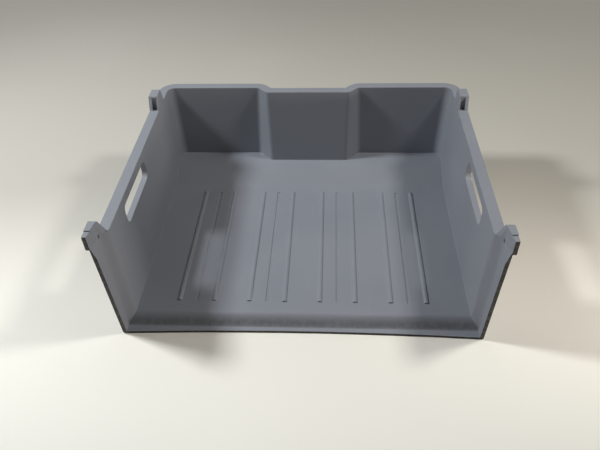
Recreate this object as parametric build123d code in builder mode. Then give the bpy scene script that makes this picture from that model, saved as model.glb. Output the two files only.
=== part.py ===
"""Freezer drawer tub: one injection moulding, open at the front, hung by its side flanges.

Millimetres. X runs across the drawer, Y from the open front to the back, Z up.
Lengths along the drawer are given from its front edge. The finished tub is moved so
that the origin is the middle of its footprint, on the plane that it stands on.
"""
import os
from math import atan2, tan

from build123d import *

# Walls
wall = 3.0
draft = 0.04
corner_radius = 10.0

# Floor levels along the drawer
floor_top = 13.0
rear_rise = 15.0
ramp_length = 36.0
ramp_radius = 36.0

# Soft step from the front frame to the tub, the same all round the U
step_foot = 8.0
step_top = 23.0
step_lean = 0.0625
step_parts = 6
frame_wall = 4.2
front_bow = 4.5

# Plan of the inner faces
floor_half_width = 188.5
frame_widening = 8.3
shelf_length = 27.5

# Inward nose in the middle of the back wall
nose_face_half = 56.0
nose_depth = 12.5
nose_flare = 0.96
nose_face_draft = 0.10
nose_side_draft = 0.02
nose_radius = 8.0

# Rim
rim_top = 132.0
flange_width = 12.0
flange_thickness = 3.0
flange_front = 14.4

# Ears at the front corners
ear_top = 148.0
ear_bottom = 129.4
ear_stand = 4.14
ear_front_width = 4.3
ear_rear_width = 9.2
ear_length = 23.5
ear_foot = 28.0
ear_foot_width = 13.9
ear_back_radius = 2.0
ear_step = 1.2
ear_step_length = 8.5
taper_drop = 16.0

# Lugs near the back
lug_top = 150.0
lug_setback = 25.5
lug_length = 31.0
lug_front_lean = 7.0
lug_back_lean = 6.0
lug_edge_radius = 1.0
pocket_rim = 3.6
pocket_web = 1.8
pocket_roof = 2.0
pocket_depth = 6.5

# Hand slots in the side walls
slot_front = 75.5
slot_length = 90.0
slot_bottom = 97.5
slot_height = 24.0
slot_radius = 7.5
collar_width = 3.0
collar_stand = 3.5
collar_chamfer = 0.8

# Floor ribs, grooves between them and the runners below the grooves
rib_count = 8
groove_count = 4
rib_pitch = 40.55
rib_front = 39.0
rib_length = 201.0
rib_clearance = 12.0
rib_width = 6.0
rib_height = 1.6
groove_width = 3.0
groove_depth = 0.6
runner_thickness = 3.0
runner_slope = 10.0

# How far the shaping bodies run past the finished tub, and how far joined bodies overlap
reach = 30.0
overlap = 1.0

rear_floor = floor_top + rear_rise
ramp_start = rib_front + rib_length + rib_clearance
ramp_end = ramp_start + ramp_length
back_at_floor = ramp_end + shelf_length
rim_rise = rim_top - floor_top
frame_half_width = floor_half_width - draft * floor_top + frame_widening
rim_half_width = floor_half_width + draft * rim_rise
back_at_rim = back_at_floor + draft * rim_rise
nose_at_rim = back_at_rim - nose_depth
nose_flank = nose_face_half + nose_flare * nose_depth / 2
flange_outer = rim_half_width + flange_width
ear_outer = flange_outer + ear_stand
side_reach = ear_outer + reach
lug_foot_back = back_at_floor - lug_setback
lug_foot_front = lug_foot_back - lug_length
lug_top_back = lug_foot_back - lug_back_lean
lug_top_front = lug_foot_front + lug_front_lean
depth = back_at_rim + flange_width


def corners(sketch, points):
    """Vertices of a sketch that lie on the given points, on both sides."""
    spots = [(sign * x, y) for x, y in points for sign in (1, -1)]
    return [
        vertex
        for vertex in sketch.vertices()
        if any(abs(vertex.X - x) + abs(vertex.Y - y) < 1e-4 for x, y in spots)
    ]


def nose_half(outset):
    """Filled plan of the right half of the nose at the rim, drawn in by outset."""
    far = nose_depth + reach
    past_middle = -nose_face_half / 2
    with BuildSketch(Plane.XY.offset(rim_top)) as plan:
        with BuildLine():
            Polyline(
                (past_middle, nose_at_rim), (nose_face_half, nose_at_rim),
                (nose_face_half + nose_flare * far, nose_at_rim + far), (past_middle, nose_at_rim + far),
                close=True,
            )
        make_face()
        if outset > 0:
            offset(amount=-outset, kind=Kind.INTERSECTION)
    return plan.sketch


def nose_space(outset):
    """Solid that the nose takes out of the space in front of the back wall."""
    lean = Vector(nose_side_draft, nose_face_draft, 1)
    with BuildPart() as half:
        extrude(nose_half(outset), amount=ear_top, dir=lean)
        extrude(nose_half(outset), amount=ear_top, dir=-lean)
    with BuildPart() as nose:
        add(half.part)
        mirror(half.part, about=Plane.YZ)
    return nose.part


def rim_outline(outset):
    """Filled plan of the inner faces at the rim, grown outwards by outset."""
    rear = (rim_half_width, back_at_rim)
    nose_foot = (nose_face_half + nose_flare * nose_depth, back_at_rim)
    nose_face = (nose_face_half, nose_at_rim)
    right = [(rim_half_width, -reach), rear, nose_foot, nose_face]
    left = [(-x, y) for x, y in reversed(right)]
    with BuildSketch(Plane.XY.offset(rim_top)) as outline:
        with BuildLine():
            Polyline(*right, *left, close=True)
        make_face()
        fillet(corners(outline, [rear]), corner_radius)
        fillet(corners(outline, [nose_foot, nose_face]), nose_radius)
        offset(amount=outset)
    return outline.sketch


def room_above_floor(outset):
    """Side view of the room above the floor and before the back wall, grown outwards by outset."""
    low = (ramp_start, floor_top)
    high = (ramp_end, rear_floor)
    ceiling = ear_top + 3 * reach
    heel = (back_at_floor + draft * rear_rise, rear_floor)
    head = (back_at_floor + draft * (ceiling - floor_top), ceiling)
    with BuildSketch(Plane.YZ) as room:
        with BuildLine():
            Polyline((-reach, floor_top), low, high, heel, head, (-reach, ceiling), close=True)
        make_face()
        fillet(corners(room, [low, high]), ramp_radius)
        if outset > 0:
            offset(amount=outset, kind=Kind.INTERSECTION)
    return room.sketch


def trough_section(half_width, bottom, top, radius):
    """Filled trough across the drawer, half_width wide at its bottom, with corners of this radius there."""
    spread = draft * (top - bottom)
    foot = (half_width, bottom)
    with BuildSketch(Plane.XZ.offset(reach)) as section:
        with BuildLine():
            Polyline(
                (-half_width, bottom), foot, (half_width + spread, top), (-half_width - spread, top),
                close=True,
            )
        make_face()
        if radius > 0:
            fillet(corners(section, [foot]), radius)
    return section.sketch


def rib_end():
    """Filled low arch, the end of one floor rib, standing on its chord."""
    half = rib_width / 2
    with BuildSketch() as arch:
        with BuildLine():
            ThreePointArc((-half, 0), (0, rib_height), (half, 0))
            Line((half, 0), (-half, 0))
        make_face()
    return arch.sketch


def side_view(*points):
    """Filled outline in the side view, from (Y, Z) corners."""
    with BuildSketch(Plane.YZ) as view:
        with BuildLine():
            Polyline(*points, close=True)
        make_face()
    return view.sketch


def upright_edges(body, inner, outer):
    """Edges that stand upright in the rear half of a body, between two distances from its middle."""
    return [
        edge
        for edge in body.edges()
        if abs(edge.tangent_at(0.5).Z) > 0.9
        and edge.center().Y > depth / 2
        and inner < abs(edge.center().X) < outer
    ]


def floor_edges(body, start):
    """Edges where the floor of a shaping body meets its walls, behind Y = start."""
    picked = []
    for edge in body.edges():
        middle = edge.center()
        across = abs(edge.tangent_at(0.5).X) > 0.999
        on_floor = across and abs(middle.X) < 1 and middle.Y < ramp_end + corner_radius
        if middle.Z < rear_floor + 1 and start + 0.1 < middle.Y and not on_floor:
            picked.append(edge)
    return picked


def leaning_half(place, ahead):
    """Side view of all that lies ahead of the leaning plane at Y = place, or behind it."""
    far = -depth if ahead else 2 * depth
    low = -2 * reach
    high = ear_top + 4 * reach
    lower = (place + step_lean * low, low)
    upper = (place + step_lean * high, high)
    return side_view(lower, upper, (far, high), (far, low))


def step_slice(share, outset, top):
    """Trough that ends at one share of the way through the step, from the front frame to the tub."""
    swing = share * share * (3 - 2 * share)
    rise = floor_top - wall
    bottom = wall - outset + swing * rise
    frame_side = frame_half_width + (frame_wall if outset > 0 else 0)
    tub_side = floor_half_width + outset - draft * floor_top
    side = frame_side + swing * (tub_side - frame_side)
    lead = outset * tan(atan2(rise, step_top - step_foot) / 2)
    place = step_foot + lead + share * (step_top - step_foot) - step_lean * (wall - outset + share * rise)
    with BuildPart() as trough:
        extrude(trough_section(side + draft * bottom, bottom, top, outset), amount=depth, dir=(0, 1, 0))
        extrude(leaning_half(place, True), amount=side_reach, both=True, mode=Mode.INTERSECT)
    return trough.part


def tub_space(outset, top):
    """Solid inside the tub's inner faces, or inside its outer faces where outset is the wall."""
    slices = [step_slice(index / step_parts, outset, top) for index in range(step_parts + 1)]
    ends = [trough.faces().sort_by(Axis.Y)[-1] for trough in slices]
    tub_side = floor_half_width + outset - draft * floor_top
    brow = ends[-1].vertices().sort_by(Axis.Z)[0]
    brow_at_foot = brow.Y - step_lean * brow.Z
    with BuildPart() as space:
        extrude(trough_section(tub_side, 0, top, 0), amount=2 * depth, dir=(0, 1, 0))
        extrude(room_above_floor(outset), amount=side_reach, both=True, mode=Mode.INTERSECT)
        extrude(leaning_half(brow_at_foot, False), amount=side_reach, both=True, mode=Mode.INTERSECT)
        fillet(upright_edges(space, 0, side_reach), corner_radius + outset)
        add(nose_space(outset), mode=Mode.SUBTRACT)
        fillet(upright_edges(space, nose_flank, rim_half_width - 2 * corner_radius), nose_radius + outset)
        fillet(upright_edges(space, 0, nose_flank), nose_radius - outset)
        if outset > 0:
            fillet(floor_edges(space, brow.Y), outset)
        loft(ends[:-1] + [space.faces().sort_by(Axis.Y)[0]])
        add(slices[0])
    return space.part


# Space inside the tub, and the tub before it is hollowed
cavity = tub_space(0, ear_top + reach)
block = tub_space(wall, rim_top)

# Flange that runs round the sides and the back
with BuildPart() as flange:
    with BuildSketch(Plane.XY.offset(rim_top)) as flange_plan:
        add(rim_outline(flange_width))
        with Locations((0, flange_front)):
            Rectangle(2 * flange_outer, depth, align=(Align.CENTER, Align.MIN), mode=Mode.INTERSECT)
    extrude(flange_plan.sketch, amount=-flange_thickness)

# Right ear: narrow at the front, its inner face running out to the rim behind, stepped on top
ear_front_inner = ear_outer - ear_front_width
ear_rear_inner = ear_outer - ear_rear_width
ear_foot_inner = ear_outer - ear_foot_width
ear_step_top = ear_top - ear_step
with BuildPart() as ear:
    with BuildSketch(Plane.XZ) as ear_front:
        with BuildLine():
            Polyline(
                (ear_front_inner, ear_bottom), (ear_outer, ear_bottom), (ear_outer, ear_top),
                (ear_front_inner, ear_top), close=True,
            )
        make_face()
    with BuildSketch(Plane.XZ.offset(-ear_foot)) as ear_back:
        with BuildLine():
            Polyline(
                (ear_foot_inner, ear_bottom), (ear_outer, ear_bottom), (ear_outer, ear_top),
                (ear_rear_inner, ear_top), close=True,
            )
        make_face()
    loft([ear_front.sketch, ear_back.sketch], ruled=True)
    with BuildSketch(Plane.YZ) as ear_side:
        with BuildLine():
            Polyline(
                (0, ear_bottom), (0, ear_step_top), (ear_step_length, ear_step_top),
                (ear_step_length, ear_top), (ear_length, ear_top), (ear_foot, rim_top),
                (ear_foot, ear_bottom), close=True,
            )
        make_face()
        fillet(corners(ear_side, [(ear_length, ear_top)]), ear_back_radius)
    extrude(ear_side.sketch, amount=side_reach, mode=Mode.INTERSECT)
    with BuildSketch(Plane.XY.offset(ear_bottom)) as ear_corner:
        with BuildLine():
            Polyline((ear_outer, ear_length), (flange_outer, ear_foot), (ear_outer, ear_foot), close=True)
        make_face()
    extrude(ear_corner.sketch, amount=ear_top - ear_bottom, mode=Mode.SUBTRACT)

# Right lug, hollowed from the front
pocket_inner = rim_half_width + pocket_web
pocket_outer = flange_outer - pocket_rim
pocket_high = lug_top - pocket_roof
pocket_mouth = Plane(
    origin=((pocket_inner + pocket_outer) / 2, lug_foot_front, (rim_top + pocket_high) / 2),
    x_dir=(1, 0, 0),
    z_dir=(0, 1, 0),
)
with BuildPart() as lug:
    with BuildSketch(Plane.YZ.offset(floor_half_width)):
        with BuildLine():
            Polyline(
                (lug_foot_front, rim_top - overlap), (lug_top_front, lug_top), (lug_top_back, lug_top),
                (lug_foot_back, rim_top - overlap), close=True,
            )
        make_face()
    extrude(amount=flange_outer - floor_half_width)
    fillet(lug.edges().group_by(Axis.Z)[-1], lug_edge_radius)
    with BuildSketch(pocket_mouth):
        Rectangle(pocket_outer - pocket_inner, pocket_high - rim_top)
    extrude(amount=pocket_depth, mode=Mode.SUBTRACT)

# Collar round the right hand slot, and the slot
slot_middle_z = slot_bottom + slot_height / 2
slot_wall = floor_half_width + draft * (slot_middle_z - floor_top)
slot_plane = Plane(
    origin=(slot_wall, slot_front + slot_length / 2, slot_middle_z), x_dir=(0, 1, 0), z_dir=(1, 0, 0)
)
with BuildPart() as collar:
    with BuildSketch(slot_plane):
        RectangleRounded(
            slot_length + 2 * collar_width, slot_height + 2 * collar_width, slot_radius + collar_width
        )
    extrude(amount=wall + collar_stand)
    chamfer(collar.faces().sort_by(Axis.X)[-1].edges(), collar_chamfer)
with BuildPart() as slot:
    with BuildSketch(slot_plane):
        RectangleRounded(slot_length, slot_height, slot_radius)
    extrude(amount=reach, both=True)

# Taper that brings the front edge of the right wall to a point under the ear
taper_low = rim_top - taper_drop
taper_high = rim_top + overlap
with BuildPart() as taper:
    with BuildSketch(Plane.XZ.offset(overlap)) as taper_end:
        with BuildLine():
            Polyline(
                (frame_half_width + draft * taper_low, taper_low), (ear_front_inner, taper_high),
                (frame_half_width, taper_high), close=True,
            )
        make_face()
    taper_tip = Vertex(frame_half_width + draft * rim_top, flange_front + step_lean * rim_top, taper_high)
    loft([taper_end.sketch, taper_tip])

with BuildPart() as drawer_tub:
    add(block)
    add(flange.part)
    for fitting in (ear.part, lug.part, collar.part):
        add(fitting)
        mirror(fitting, about=Plane.YZ)
    add(cavity, mode=Mode.SUBTRACT)
    for opening in (slot.part, taper.part):
        add(opening, mode=Mode.SUBTRACT)
        mirror(opening, about=Plane.YZ, mode=Mode.SUBTRACT)

    # Front trimmed flat, with a shallow bow along the bottom edge
    bow_half = frame_half_width + wall
    with BuildSketch(Plane.XY.offset(-reach)):
        with BuildLine():
            ThreePointArc((-bow_half, 0), (0, front_bow), (bow_half, 0))
            Polyline(
                (bow_half, 0), (side_reach, 0), (side_reach, -2 * reach), (-side_reach, -2 * reach),
                (-side_reach, 0), (-bow_half, 0),
            )
        make_face()
    extrude(amount=ear_top + 2 * reach, mode=Mode.SUBTRACT)

    # Ribs, and grooves half-way between alternate ribs
    with BuildSketch(Plane.XZ.offset(-rib_front)):
        with Locations((0, floor_top)):
            with GridLocations(rib_pitch, 0, rib_count, 1):
                add(rib_end())
    extrude(amount=-rib_length)
    with BuildSketch(Plane.XY.offset(floor_top)):
        with Locations((0, rib_front + rib_length / 2)):
            with GridLocations(2 * rib_pitch, 0, groove_count, 1):
                Rectangle(groove_width, rib_length)
    extrude(amount=-groove_depth, mode=Mode.SUBTRACT)

    # Runners under the grooves
    runner_back = rib_front + rib_length
    runner_top = floor_top - wall
    for index in range(groove_count):
        with BuildSketch(Plane.YZ.offset(2 * rib_pitch * (index - (groove_count - 1) / 2))):
            with BuildLine():
                Polyline(
                    (rib_front, runner_top), (rib_front + runner_slope, 0), (runner_back - runner_slope, 0),
                    (runner_back, runner_top), close=True,
                )
            make_face()
        extrude(amount=runner_thickness / 2, both=True)

drawer_tub.part.position = (0, -depth / 2, 0)
drawer_tub.part.label = "drawer_tub"
os.makedirs("parts", exist_ok=True)
export_step(drawer_tub.part, "parts/drawer_tub.step")
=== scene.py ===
"""Looks of a freezer drawer tub: moulded matte plastic on a pale studio floor."""
from math import cos, radians, sin

import bpy
from mathutils import Matrix, Vector


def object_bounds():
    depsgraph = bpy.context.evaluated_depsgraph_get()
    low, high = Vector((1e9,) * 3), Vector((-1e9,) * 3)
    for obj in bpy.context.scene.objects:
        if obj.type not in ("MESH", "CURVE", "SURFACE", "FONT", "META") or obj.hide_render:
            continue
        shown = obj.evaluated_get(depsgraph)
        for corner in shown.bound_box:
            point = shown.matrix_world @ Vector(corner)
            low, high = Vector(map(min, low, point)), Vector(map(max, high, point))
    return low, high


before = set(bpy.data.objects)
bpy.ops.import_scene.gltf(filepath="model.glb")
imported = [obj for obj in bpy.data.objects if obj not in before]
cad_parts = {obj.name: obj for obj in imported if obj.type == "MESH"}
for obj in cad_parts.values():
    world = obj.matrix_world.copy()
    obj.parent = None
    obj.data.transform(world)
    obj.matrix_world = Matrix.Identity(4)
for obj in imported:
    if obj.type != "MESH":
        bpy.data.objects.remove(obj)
cad_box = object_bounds()

bl_info = {
    "name": "Freezer Drawer Looks",
    "version": (1, 0, 0),
    "blender": (4, 5, 0),
    "location": "View3D > Sidebar > Drawer",
    "description": "Moulded plastic finish and studio for a freezer drawer tub",
    "category": "Object",
}

TUB_NODE = "drawer_tub"
TUB_SLOT = "tub_plastic"


class NodeBoard:
    """Places nodes on one node tree and joins them."""

    def __init__(self, tree):
        self.tree = tree
        self.tree.nodes.clear()
        self.column = 0

    def node(self, kind, **settings):
        """One node of a kind, with its settings and unlinked input values."""
        made = self.tree.nodes.new(kind)
        made.location = (self.column * 200, -(self.column % 4) * 160)
        self.column += 1
        inputs = settings.pop("inputs", {})
        for name, value in settings.items():
            setattr(made, name, value)
        for name, value in inputs.items():
            self.feed(made, name, value)
        return made

    def feed(self, node, name, value):
        """Links an output to an input, or sets the input's value."""
        socket = node.inputs[name]
        if isinstance(value, bpy.types.NodeSocket):
            self.tree.links.new(value, socket)
        else:
            socket.default_value = value

    def math(self, operation, first, second=0.0, clamp=False):
        """Result of one sum on two numbers."""
        return self.node("ShaderNodeMath", operation=operation, use_clamp=clamp, inputs={0: first, 1: second}).outputs[0]

    def noise(self, where, scale, detail=2.0, roughness=0.5):
        """Noise value at a place."""
        made = self.node(
            "ShaderNodeTexNoise",
            inputs={"Vector": where, "Scale": scale, "Detail": detail, "Roughness": roughness},
        )
        return made.outputs["Fac"]

    def spread(self, value, low, high, to_low=0.0, to_high=1.0):
        """A value moved smoothly from one range to another, clamped."""
        made = self.node(
            "ShaderNodeMapRange",
            interpolation_type="SMOOTHSTEP",
            inputs={"Value": value, 1: low, 2: high, 3: to_low, 4: to_high},
        )
        return made.outputs["Result"]

    def seen(self):
        """One for the rays that show a surface as backdrop, nought for those that only light others."""
        paths = self.node("ShaderNodeLightPath").outputs
        mirrored = self.math("MAXIMUM", paths["Is Glossy Ray"], paths["Is Transmission Ray"])
        return self.math("MAXIMUM", paths["Is Camera Ray"], mirrored)

    def mix(self, share, first, second):
        """Colour between two colours."""
        made = self.node("ShaderNodeMix", data_type="RGBA")
        self.feed(made, 0, share)
        self.feed(made, 6, first)
        self.feed(made, 7, second)
        return made.outputs[2]


class TubPlasticSettings(bpy.types.PropertyGroup):
    """Finish of the moulded tub."""

    colour: bpy.props.FloatVectorProperty(
        name="Colour", description="Grey of the plastic", subtype="COLOR", size=4, min=0.0, max=1.0,
        default=(0.222, 0.235, 0.264, 1.0),
    )
    haze_colour: bpy.props.FloatVectorProperty(
        name="Haze Colour", description="Paler grey where the skin of the moulding is hazed", subtype="COLOR",
        size=4, min=0.0, max=1.0, default=(0.245, 0.257, 0.285, 1.0),
    )
    rub_colour: bpy.props.FloatVectorProperty(
        name="Rub Colour", description="Pale grey of rubbed edges and scuffs", subtype="COLOR",
        size=4, min=0.0, max=1.0, default=(0.365, 0.377, 0.404, 1.0),
    )
    # Painted shade: dark brown that stands in for the shade on the front-facing cut edges.
    painted_front_shade_colour: bpy.props.FloatVectorProperty(
        name="Edge Colour", description="Dark brown grime on the cut front edges", subtype="COLOR",
        size=4, min=0.0, max=1.0, default=(0.03, 0.023, 0.018, 1.0),
    )
    # Painted shade: dark grey that stands in for the shade in the crease at the foot of the front step.
    painted_foot_shade_colour: bpy.props.FloatVectorProperty(
        name="Foot Colour", description="Dark grey film at the foot of the front step", subtype="COLOR",
        size=4, min=0.0, max=1.0, default=(0.06, 0.062, 0.064, 1.0),
    )
    roughness: bpy.props.FloatProperty(
        name="Roughness", description="Roughness of the matte skin", default=0.5, min=0.0, max=1.0, subtype="FACTOR",
    )
    grain_size: bpy.props.FloatProperty(
        name="Grain Size", description="Size of the moulded grain", default=0.0007, min=0.0001, unit="LENGTH",
    )
    grain_depth: bpy.props.FloatProperty(
        name="Grain Depth", description="Depth of the moulded grain", default=0.00006, min=0.0, unit="LENGTH",
    )
    edge_radius: bpy.props.FloatProperty(
        name="Edge Radius", description="Radius to which the mould's edges are shaded", default=0.0009, min=0.0,
        unit="LENGTH",
    )


class StudioSettings(bpy.types.PropertyGroup):
    """Floor, lamps and camera."""

    floor_colour: bpy.props.FloatVectorProperty(
        name="Floor Colour", description="Colour of the pale floor", subtype="COLOR", size=4, min=0.0, max=1.0,
        default=(0.95, 0.925, 0.84, 1.0),
    )
    # Painted shade: darker colour towards which the floor fades behind the drawer.
    painted_dim_floor_colour: bpy.props.FloatVectorProperty(
        name="Backdrop Colour", description="Colour of the floor behind the drawer", subtype="COLOR", size=4,
        min=0.0, max=1.0, default=(0.56, 0.53, 0.465, 1.0),
    )
    sweep_colour: bpy.props.FloatVectorProperty(
        name="Sweep Colour", description="Pale colour that the far floor and the backdrop show", subtype="COLOR",
        size=4, min=0.0, max=1.0, default=(0.42, 0.40, 0.355, 1.0),
    )
    bounce_colour: bpy.props.FloatVectorProperty(
        name="Bounce Colour", description="Colour by which the floor lights the drawer", subtype="COLOR", size=4,
        min=0.0, max=1.0, default=(0.3, 0.288, 0.268, 1.0),
    )
    floor_side: bpy.props.FloatProperty(
        name="Floor Side", description="Side of the square floor", default=12.0, min=1.0, unit="LENGTH",
    )
    left_power: bpy.props.FloatProperty(
        name="Left Power", description="Power of the left lamp", default=12.4, min=0.0, unit="POWER",
    )
    right_power: bpy.props.FloatProperty(
        name="Right Power", description="Power of the right lamp", default=6.4, min=0.0, unit="POWER",
    )
    right_low_power: bpy.props.FloatProperty(
        name="Right Low Power", description="Power of the low lamp on the right", default=0.48, min=0.0, unit="POWER",
    )
    left_low_power: bpy.props.FloatProperty(
        name="Left Low Power", description="Power of the low lamp on the left", default=0.12, min=0.0, unit="POWER",
    )
    lamp_side: bpy.props.FloatProperty(
        name="Lamp Side", description="Side of each square lamp", default=0.18, min=0.01, unit="LENGTH",
    )
    left_place: bpy.props.FloatVectorProperty(
        name="Left Place", description="Place of the left lamp", size=3, subtype="TRANSLATION", unit="LENGTH",
        default=(-0.86, 0.06, 0.92),
    )
    right_place: bpy.props.FloatVectorProperty(
        name="Right Place", description="Place of the right lamp", size=3, subtype="TRANSLATION", unit="LENGTH",
        default=(0.72, 0.04, 1.02),
    )
    low_side: bpy.props.FloatProperty(
        name="Low Side", description="Side of each low lamp", default=0.16, min=0.01, unit="LENGTH",
    )
    low_beam: bpy.props.FloatProperty(
        name="Low Beam", description="Width of the low lamps' beams", default=radians(60), subtype="ANGLE",
    )
    low_place: bpy.props.FloatVectorProperty(
        name="Low Place", description="Place of the low lamp on the right, mirrored for the left one", size=3,
        subtype="TRANSLATION", unit="LENGTH", default=(0.74, -0.22, 0.1),
    )
    sky_strength: bpy.props.FloatProperty(
        name="Sky Strength", description="Strength of the even light from all round", default=0.03, min=0.0,
    )
    eye_place: bpy.props.FloatVectorProperty(
        name="Eye Place", description="Place of the camera", size=3, subtype="TRANSLATION", unit="LENGTH",
        default=(0.03196, -0.58277, 0.53551),
    )
    eye_pitch: bpy.props.FloatProperty(
        name="Eye Pitch", description="How far the camera looks down", default=radians(41.539), subtype="ANGLE",
    )
    eye_yaw: bpy.props.FloatProperty(
        name="Eye Yaw", description="How far the camera is turned to the right", default=radians(-3.883), subtype="ANGLE",
    )
    eye_roll: bpy.props.FloatProperty(
        name="Eye Roll", description="How far the camera is tipped about its view", default=radians(2.088),
        subtype="ANGLE",
    )
    eye_lens: bpy.props.FloatProperty(
        name="Eye Lens", description="Focal length on a 36 mm wide sensor, in millimetres", default=36.0, min=1.0,
    )


def tub_plastic(settings):
    """Matte grey moulding: fine grain, faint haze, rubbed edges and scuffs along the floor, with painted shade on the
    front-facing cut edges and at the foot of the front step.
    """
    material = bpy.data.materials.new(TUB_SLOT)
    material.use_nodes = True
    board = NodeBoard(material.node_tree)
    where = board.node("ShaderNodeTexCoord").outputs["Object"]
    facing = board.node("ShaderNodeNewGeometry").outputs["Normal"]

    haze = board.spread(board.noise(where, 9.0, 3.0, 0.55), 0.35, 0.7)
    speck = board.spread(board.noise(where, 700.0, 2.0, 0.5), 0.3, 0.7, 0.0, 0.35)
    tone = board.mix(board.math("ADD", board.math("MULTIPLY", haze, 0.65), speck, True),
                     tuple(settings.colour), tuple(settings.haze_colour))

    rounded = board.node("ShaderNodeBevel", samples=6, inputs={"Radius": settings.edge_radius}).outputs["Normal"]
    turned = board.node("ShaderNodeVectorMath", operation="DOT_PRODUCT", inputs={0: rounded, 1: facing}).outputs["Value"]
    edge = board.spread(turned, 0.995, 0.86)
    patchy = board.spread(board.noise(where, 60.0, 4.0, 0.6), 0.35, 0.65)
    edge_rub = board.math("MULTIPLY", edge, board.math("MULTIPLY", patchy, 0.55))

    upward = board.node("ShaderNodeSeparateXYZ", inputs={0: facing}).outputs["Z"]
    on_floor = board.spread(upward, 0.9, 0.99)
    drawn = board.node("ShaderNodeMapping", inputs={"Vector": where, "Scale": (220.0, 9.0, 40.0)}).outputs["Vector"]
    scuff = board.spread(board.noise(drawn, 1.0, 5.0, 0.65), 0.62, 0.74)
    scuff = board.math("MULTIPLY", board.math("MULTIPLY", scuff, on_floor), 0.16)
    rub = board.math("ADD", edge_rub, scuff, True)
    colour = board.mix(rub, tone, tuple(settings.rub_colour))

    place = board.node("ShaderNodeSeparateXYZ", inputs={0: where}).outputs
    forward = board.node("ShaderNodeSeparateXYZ", inputs={0: facing}).outputs["Y"]
    # Painted shade: the front-facing cut edges are darkened towards a dark brown, broken into patches by noise.
    front = cad_box[0].y
    cut = board.math("MULTIPLY", board.spread(forward, -0.8, -0.95), board.spread(place["Y"], front + 0.007, front + 0.005))
    painted_shade_patches = board.spread(board.noise(where, 180.0, 3.0, 0.6), 0.25, 0.6, 0.6, 0.97)
    colour = board.mix(board.math("MULTIPLY", cut, painted_shade_patches), colour, tuple(settings.painted_front_shade_colour))
    # Painted shade: the crease at the foot of the front step is darkened where shade falls.
    riser = board.math("MULTIPLY", board.spread(forward, -0.15, -0.55), board.spread(place["Y"], front + 0.007, front + 0.009))
    foot = board.math("MULTIPLY", riser, board.spread(place["Z"], 0.0125, 0.0055))
    colour = board.mix(board.math("MULTIPLY", foot, board.math("MULTIPLY", painted_shade_patches, 0.62)), colour, tuple(settings.painted_foot_shade_colour))

    sheen = board.math("ADD", board.math("MULTIPLY", haze, 0.08), settings.roughness - 0.04)
    dull = board.math("ADD", sheen, board.math("MULTIPLY", rub, 0.3), True)
    grain = board.noise(where, 1.0 / settings.grain_size, 2.0, 0.5)
    relief = board.node(
        "ShaderNodeBump",
        inputs={"Height": grain, "Strength": 0.6, "Distance": settings.grain_depth, "Normal": rounded},
    ).outputs["Normal"]

    skin = board.node("ShaderNodeBsdfPrincipled", inputs={"Base Color": colour, "Roughness": dull, "Normal": relief})
    skin.inputs["IOR"].default_value = 1.5
    skin.inputs["Specular IOR Level"].default_value = 0.4
    board.node("ShaderNodeOutputMaterial", inputs={"Surface": skin.outputs["BSDF"]})
    return material


def floor_paper(settings):
    """Pale seamless studio paper with a faint unevenness, and painted shade that darkens it towards the back."""
    material = bpy.data.materials.new("floor_paper")
    material.use_nodes = True
    board = NodeBoard(material.node_tree)
    where = board.node("ShaderNodeTexCoord").outputs["Object"]
    cloud = board.spread(board.noise(where, 2.2, 2.0, 0.5), 0.3, 0.7, -0.05, 0.05)
    # Painted shade: the floor fades from pale in front to darker behind the drawer.
    along = board.node("ShaderNodeSeparateXYZ", inputs={0: where}).outputs["Y"]
    behind = board.math("ADD", board.spread(along, -0.3, 0.15), cloud, True)
    colour = board.mix(behind, tuple(settings.floor_colour), tuple(settings.painted_dim_floor_colour))
    seen = board.seen()
    colour = board.mix(seen, tuple(settings.bounce_colour), colour)
    paper = board.node("ShaderNodeBsdfPrincipled", inputs={"Base Color": colour, "Roughness": 0.85})
    paper.inputs["Specular IOR Level"].default_value = 0.15
    away = board.node("ShaderNodeVectorMath", operation="LENGTH", inputs={0: where}).outputs["Value"]
    far = board.math("MULTIPLY", seen, board.spread(away, 0.6, 1.7))
    sweep = board.node("ShaderNodeEmission", inputs={"Color": tuple(settings.sweep_colour), "Strength": 1.0})
    surface = board.node("ShaderNodeMixShader", inputs={0: far, 1: paper.outputs["BSDF"], 2: sweep.outputs[0]})
    board.node("ShaderNodeOutputMaterial", inputs={"Surface": surface.outputs[0]})
    return material


class DRAWER_OT_tub_finish(bpy.types.Operator):
    """Give the moulded tub its plastic finish"""

    bl_idname = "drawer.tub_finish"
    bl_label = "Tub Finish"

    def execute(self, context):
        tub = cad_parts[TUB_NODE]
        plastic = tub_plastic(context.scene.drawer_plastic)
        if not tub.material_slots:
            raise RuntimeError("the tub has no material slot")
        for place in tub.material_slots:
            place.material = plastic
        return {"FINISHED"}


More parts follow.
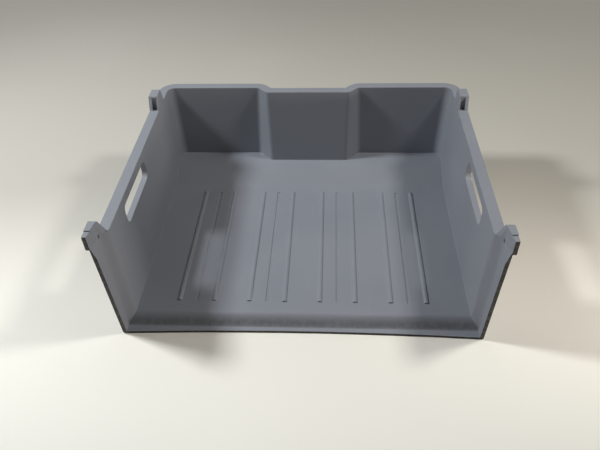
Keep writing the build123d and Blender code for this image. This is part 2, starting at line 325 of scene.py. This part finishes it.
class DRAWER_OT_studio(bpy.types.Operator):
    """Set up the pale floor, the lamps, the even light and the camera"""

    bl_idname = "drawer.studio"
    bl_label = "Studio"

    def execute(self, context):
        scene = context.scene
        settings = scene.drawer_studio
        scene.view_settings.view_transform = "Standard"
        self.lay_floor(scene, settings)
        cool, plain, warm = (0.93, 0.97, 1.0), (1.0, 0.98, 0.95), (1.0, 0.9, 0.8)
        left_low_place = settings.low_place * Vector((-1.0, 1.0, 1.0))
        for name, place, power, colour, side, beam in (
            ("left_lamp", settings.left_place, settings.left_power, cool, settings.lamp_side, radians(180)),
            ("right_lamp", settings.right_place, settings.right_power, plain, settings.lamp_side, radians(180)),
            ("left_low_lamp", left_low_place, settings.left_low_power, warm, settings.low_side, settings.low_beam),
            ("right_low_lamp", settings.low_place, settings.right_low_power, warm, settings.low_side, settings.low_beam),
        ):
            self.hang_lamp(scene, name, place, power, colour, side, beam)
        self.light_sky(scene, settings)
        self.place_camera(scene, settings)
        return {"FINISHED"}

    def lay_floor(self, scene, settings):
        """Square floor under the drawer."""
        half = settings.floor_side / 2
        mesh = bpy.data.meshes.new("studio_floor")
        mesh.from_pydata([(-half, -half, 0), (half, -half, 0), (half, half, 0), (-half, half, 0)], [], [(0, 1, 2, 3)])
        mesh.materials.append(floor_paper(settings))
        floor = bpy.data.objects.new("studio_floor", mesh)
        scene.collection.objects.link(floor)

    def hang_lamp(self, scene, name, place, power, colour, side, beam):
        """Square lamp that points at the middle of the drawer."""
        middle = (cad_box[0] + cad_box[1]) / 2
        light = bpy.data.lights.new(name, "AREA")
        light.shape = "SQUARE"
        light.size = side
        light.spread = beam
        light.energy = power
        light.color = colour
        lamp = bpy.data.objects.new(name, light)
        lamp.location = place
        lamp.visible_camera = False
        lamp.rotation_euler = (middle - Vector(place)).to_track_quat("-Z", "Y").to_euler()
        scene.collection.objects.link(lamp)

    def light_sky(self, scene, settings):
        """Even light from all round, seen as a pale backdrop by the camera."""
        world = bpy.data.worlds.new("studio_sky")
        scene.world = world
        world.use_nodes = True
        board = NodeBoard(world.node_tree)
        even = board.node("ShaderNodeBackground", inputs={"Color": (0.97, 0.98, 1.0, 1.0), "Strength": settings.sky_strength})
        pale = board.node("ShaderNodeBackground", inputs={"Color": tuple(settings.sweep_colour), "Strength": 1.0})
        both = board.node("ShaderNodeMixShader", inputs={0: board.seen(), 1: even.outputs[0], 2: pale.outputs[0]})
        board.node("ShaderNodeOutputWorld", inputs={"Surface": both.outputs[0]})

    def place_camera(self, scene, settings):
        """Camera in front of the drawer, looking down into it."""
        pitch, yaw, roll = settings.eye_pitch, settings.eye_yaw, settings.eye_roll
        ahead = Vector((sin(yaw) * cos(pitch), cos(yaw) * cos(pitch), -sin(pitch)))
        level = Vector((cos(yaw), -sin(yaw), 0.0))
        down = ahead.cross(level)
        right = cos(roll) * level + sin(roll) * down
        up = sin(roll) * level - cos(roll) * down
        data = bpy.data.cameras.new("photo_camera")
        data.sensor_fit = "HORIZONTAL"
        data.sensor_width = 36.0
        data.lens = settings.eye_lens
        data.clip_start = 0.01
        camera = bpy.data.objects.new("photo_camera", data)
        camera.matrix_world = Matrix.Translation(settings.eye_place) @ Matrix((right, up, -ahead)).transposed().to_4x4()
        scene.collection.objects.link(camera)
        scene.camera = camera


class DRAWER_PT_panel(bpy.types.Panel):
    """Finish and studio of the freezer drawer"""

    bl_idname = "DRAWER_PT_panel"
    bl_label = "Freezer Drawer"
    bl_space_type = "VIEW_3D"
    bl_region_type = "UI"
    bl_category = "Drawer"

    def draw(self, context):
        for title, settings, operator in (
            ("Tub plastic", context.scene.drawer_plastic, DRAWER_OT_tub_finish),
            ("Studio", context.scene.drawer_studio, DRAWER_OT_studio),
        ):
            box = self.layout.box()
            box.label(text=title)
            for name in settings.__annotations__:
                box.prop(settings, name)
            box.operator(operator.bl_idname)


CLASSES = (TubPlasticSettings, StudioSettings, DRAWER_OT_tub_finish, DRAWER_OT_studio, DRAWER_PT_panel)


def register():
    for kind in CLASSES:
        bpy.utils.register_class(kind)
    bpy.types.Scene.drawer_plastic = bpy.props.PointerProperty(type=TubPlasticSettings)
    bpy.types.Scene.drawer_studio = bpy.props.PointerProperty(type=StudioSettings)


def unregister():
    del bpy.types.Scene.drawer_studio
    del bpy.types.Scene.drawer_plastic
    for kind in reversed(CLASSES):
        bpy.utils.unregister_class(kind)


def main():
    """Dress the drawer and set up the studio."""
    register()
    bpy.ops.drawer.tub_finish()
    bpy.ops.drawer.studio()


if __name__ == "__main__":
    main()
